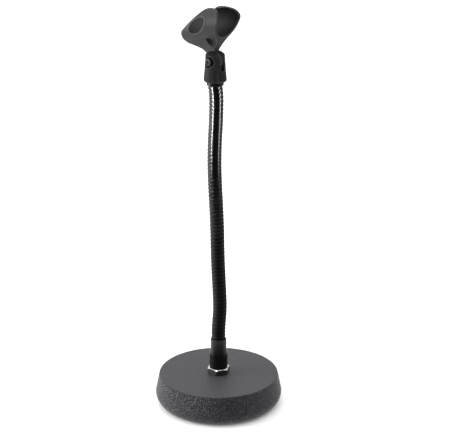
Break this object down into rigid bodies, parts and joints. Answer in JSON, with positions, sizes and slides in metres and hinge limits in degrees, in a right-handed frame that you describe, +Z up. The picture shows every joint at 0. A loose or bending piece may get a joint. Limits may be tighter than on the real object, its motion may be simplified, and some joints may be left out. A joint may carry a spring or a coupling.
{
  "type": "desktop microphone stand",
  "caption": "Heavy round desktop base with a threaded ferrule, a bendable gooseneck and a swivelling, tilting C-shaped microphone clip.",
  "frame": {"origin": "centre of the base on the table, at the underside of the rubber feet", "axes": "+Z up along the neck, +X to the right and -Y towards the viewer of the resting pose"},
  "size_m": [0.13, 0.13, 0.4099],
  "materials": {
    "base_enamel": "fine wrinkled grey enamel over the casting, satin",
    "feet": "matt moulded rubber",
    "stud_steel": "plain machined steel thread",
    "zinc": "bright zinc plated",
    "chrome": "polished chrome plate",
    "black_sleeve": "smooth glossy black",
    "gooseneck_black": "glossy black on the wound ribs",
    "black_adapter": "black oxide, satin",
    "brass_bush": "plain turned brass",
    "clip_plastic": "fine-textured matt dark grey plastic",
    "screw": "dark plated steel"
  },
  "bodies": {
    "base": {"base_casting": "base_enamel", "rubber_feet": "feet", "base_stud": "stud_steel", "stud_flat_washer": "zinc", "stud_lock_washer": "zinc", "stud_hex_nut": "zinc", "chrome_jam_nut": "chrome", "lower_ferrule": "black_sleeve", "gooseneck_link_00": "gooseneck_black"},
    "neck_01": {"gooseneck_link_01": "gooseneck_black"},
    "neck_02": {"gooseneck_link_02": "gooseneck_black"},
    "neck_03": {"gooseneck_link_03": "gooseneck_black"},
    "neck_04": {"gooseneck_link_04": "gooseneck_black"},
    "neck_05": {"gooseneck_link_05": "gooseneck_black"},
    "neck_06": {"gooseneck_link_06": "gooseneck_black"},
    "neck_07": {"gooseneck_link_07": "gooseneck_black"},
    "neck_08": {"gooseneck_link_08": "gooseneck_black"},
    "neck_09": {"gooseneck_link_09": "gooseneck_black"},
    "neck_10": {"gooseneck_link_10": "gooseneck_black"},
    "neck_11": {"gooseneck_link_11": "gooseneck_black"},
    "neck_12": {"gooseneck_link_12": "gooseneck_black", "upper_adapter": "black_adapter"},
    "swivel": {"clip_yoke": "clip_plastic", "thread_insert": "brass_bush", "pivot_screw": "screw", "pivot_washer": "screw", "pivot_nut": "screw"},
    "clip": {"mic_clip": "clip_plastic"}
  },
  "joints": [
    {"name": "neck_bend_01", "type": "hinge", "parent": "base", "child": "neck_01", "pos_m": [0, 0, 0.07964], "axis": [1, 0, 0], "range_deg": [-15, 15]},
    {"name": "neck_bend_02", "type": "hinge", "parent": "neck_01", "child": "neck_02", "pos_m": [0.00139, 0, 0.10172], "axis": [0, 1, 0], "range_deg": [-15, 15]},
    {"name": "neck_bend_03", "type": "hinge", "parent": "neck_02", "child": "neck_03", "pos_m": [0.00081, 0, 0.12381], "axis": [1, 0, 0], "range_deg": [-15, 15]},
    {"name": "neck_bend_04", "type": "hinge", "parent": "neck_03", "child": "neck_04", "pos_m": [-0.0002, 0, 0.14589], "axis": [0, 1, 0], "range_deg": [-15, 15]},
    {"name": "neck_bend_05", "type": "hinge", "parent": "neck_04", "child": "neck_05", "pos_m": [-0.00085, 0, 0.16798], "axis": [1, 0, 0], "range_deg": [-15, 15]},
    {"name": "neck_bend_06", "type": "hinge", "parent": "neck_05", "child": "neck_06", "pos_m": [-0.00126, 0, 0.19008], "axis": [0, 1, 0], "range_deg": [-15, 15]},
    {"name": "neck_bend_07", "type": "hinge", "parent": "neck_06", "child": "neck_07", "pos_m": [-0.00213, 0, 0.21216], "axis": [1, 0, 0], "range_deg": [-15, 15]},
    {"name": "neck_bend_08", "type": "hinge", "parent": "neck_07", "child": "neck_08", "pos_m": [-0.00318, 0, 0.23424], "axis": [0, 1, 0], "range_deg": [-15, 15]},
    {"name": "neck_bend_09", "type": "hinge", "parent": "neck_08", "child": "neck_09", "pos_m": [-0.00367, 0, 0.25633], "axis": [1, 0, 0], "range_deg": [-15, 15]},
    {"name": "neck_bend_10", "type": "hinge", "parent": "neck_09", "child": "neck_10", "pos_m": [-0.0032, 0, 0.27843], "axis": [0, 1, 0], "range_deg": [-15, 15]},
    {"name": "neck_bend_11", "type": "hinge", "parent": "neck_10", "child": "neck_11", "pos_m": [-0.00207, 0, 0.3005], "axis": [1, 0, 0], "range_deg": [-15, 15]},
    {"name": "neck_bend_12", "type": "hinge", "parent": "neck_11", "child": "neck_12", "pos_m": [-0.00176, 0, 0.32259], "axis": [0, 1, 0], "range_deg": [-15, 15]},
    {"name": "clip_swivel", "type": "hinge", "parent": "neck_12", "child": "swivel", "pos_m": [-0.0027, 0, 0.338], "axis": [0, 0, 1], "range_deg": [-180, 180]},
    {"name": "clip_tilt", "type": "hinge", "parent": "swivel", "child": "clip", "pos_m": [-0.0027, 0, 0.358], "axis": [0.682, 0.7314, 0], "range_deg": [-45, 80]}
  ]
}
